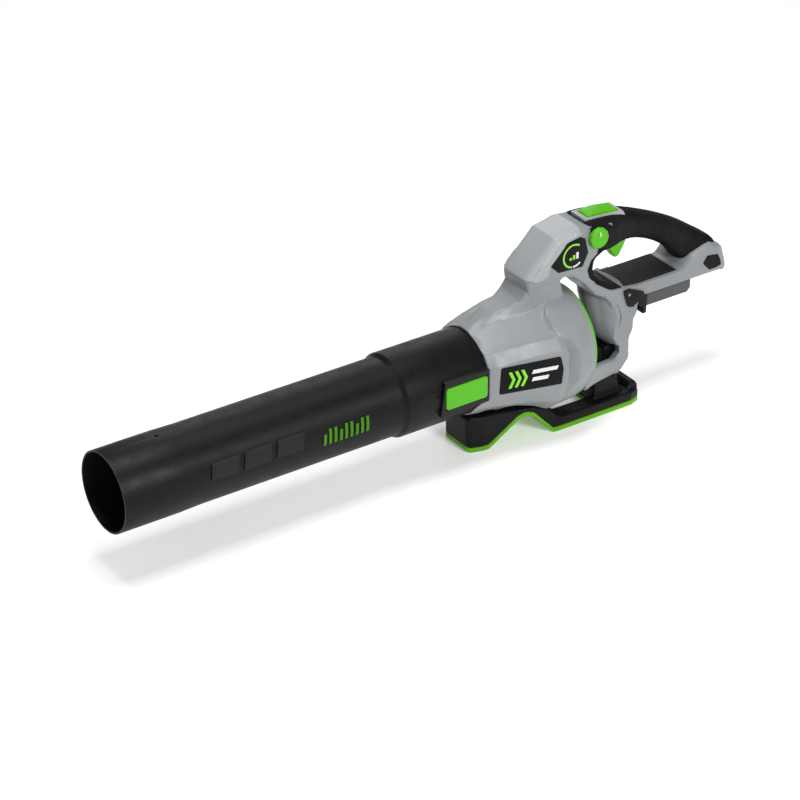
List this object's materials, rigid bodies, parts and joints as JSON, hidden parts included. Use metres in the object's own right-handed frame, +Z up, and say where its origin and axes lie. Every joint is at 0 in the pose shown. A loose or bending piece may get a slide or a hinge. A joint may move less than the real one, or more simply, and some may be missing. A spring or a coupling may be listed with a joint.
{
  "type": "leaf blower",
  "caption": "Handheld cordless axial leaf blower with a straight round blower tube, D-shaped rear handle and a rest base.",
  "frame": {"origin": "middle of the footprint on the ground, under the base", "axes": "+Z up; -Y the way the air is blown, along the tube; +X the blower's left side"},
  "size_m": [0.158, 0.89, 0.266],
  "materials": {
    "shell_grey": "satin moulded",
    "shield_grey": "satin moulded",
    "tube_black": "satin moulded",
    "inner_black": "matte moulded",
    "skid_black": "fine texture",
    "grip_rubber": "soft touch",
    "rail_dark": "satin moulded",
    "lime_green": "satin moulded",
    "sole_green": "fine texture",
    "label_gloss": "gloss",
    "steel": "zinc plated",
    "magnet": "nickel plated",
    "copper_core": "lacquered windings",
    "board_green": "solder mask",
    "alloy": "extruded",
    "brass": "plain",
    "switch_black": "matte"
  },
  "bodies": {
    "housing": {"fan_housing_left": "shell_grey", "fan_housing_right": "shell_grey", "handle_frame_left": "shell_grey", "handle_frame_right": "shell_grey", "stem_shield": "shield_grey", "turbo_bezel": "shield_grey", "duct_liner": "inner_black", "inlet_guard": "inner_black", "guide_vanes": "inner_black", "tail_cone": "inner_black", "base_skid": "skid_black", "grip_overmould": "grip_rubber", "rail_cover": "rail_dark", "battery_guide": "rail_dark", "inlet_ring": "lime_green", "base_sole": "sole_green", "label_plate_left": "label_gloss", "label_plate_right": "label_gloss", "display_lens": "label_gloss", "rear_badges": "label_gloss", "frame_screws": "steel", "base_screws": "steel", "trigger_pin": "steel", "latch_pins": "steel", "front_bearing": "steel", "rear_bearing": "steel", "trigger_spring": "steel", "turbo_spring": "steel", "ejector_spring": "steel", "motor_stator": "copper_core", "controller_board": "board_green", "display_board": "board_green", "heat_sink": "alloy", "terminal_blades": "brass", "trigger_switch": "switch_black", "turbo_switch": "switch_black", "dial_sensor": "switch_black", "terminal_block": "switch_black"},
    "tube": {"blower_tube": "tube_black", "latch_bezel": "tube_black", "release_spring": "steel"},
    "release_button": {"release_button": "lime_green"},
    "trigger": {"trigger": "lime_green"},
    "turbo_button": {"turbo_button": "lime_green"},
    "cruise_dial": {"cruise_dial": "lime_green"},
    "battery_latch": {"battery_latch": "rail_dark"},
    "ejector": {"ejector": "switch_black"},
    "rotor": {"fan": "inner_black", "motor_shaft": "steel", "magnet_rotor": "magnet"}
  },
  "joints": [
    {"name": "tube_slide", "type": "slide", "parent": "housing", "child": "tube", "axis": [0, -1, 0], "range_m": [0, 0.07]},
    {"name": "release_button_press", "type": "slide", "parent": "tube", "child": "release_button", "axis": [-1, 0, 0], "range_m": [0, 0.0018], "stiffness_N_per_m": 500, "springref_m": -0.002, "deforming": ["release_spring"]},
    {"name": "trigger_pull", "type": "hinge", "parent": "housing", "child": "trigger", "pos_m": [0, 0.264, 0.228], "axis": [1, 0, 0], "range_deg": [0, 14], "stiffness_Nm_per_rad": 0.6, "springref_deg": -8.59, "deforming": ["trigger_spring"]},
    {"name": "turbo_press", "type": "slide", "parent": "housing", "child": "turbo_button", "axis": [0, 0, -1], "range_m": [0, 0.002], "stiffness_N_per_m": 600, "springref_m": -0.002, "deforming": ["turbo_spring"]},
    {"name": "cruise_dial_turn", "type": "hinge", "parent": "housing", "child": "cruise_dial", "pos_m": [0, 0.229, 0.242], "axis": [1, 0, 0], "range_deg": [0, 120]},
    {"name": "battery_latch_release", "type": "hinge", "parent": "housing", "child": "battery_latch", "pos_m": [0, 0.277, 0.151], "axis": [1, 0, 0], "range_deg": [0, 6], "stiffness_Nm_per_rad": 2, "springref_deg": -5.73},
    {"name": "ejector_press", "type": "slide", "parent": "housing", "child": "ejector", "axis": [0, -1, 0], "range_m": [0, 0.008], "stiffness_N_per_m": 400, "springref_m": -0.004, "deforming": ["ejector_spring"]},
    {"name": "fan_spin", "type": "hinge", "parent": "housing", "child": "rotor", "pos_m": [0, 0.155, 0.105], "axis": [0, 1, 0], "continuous": true}
  ]
}
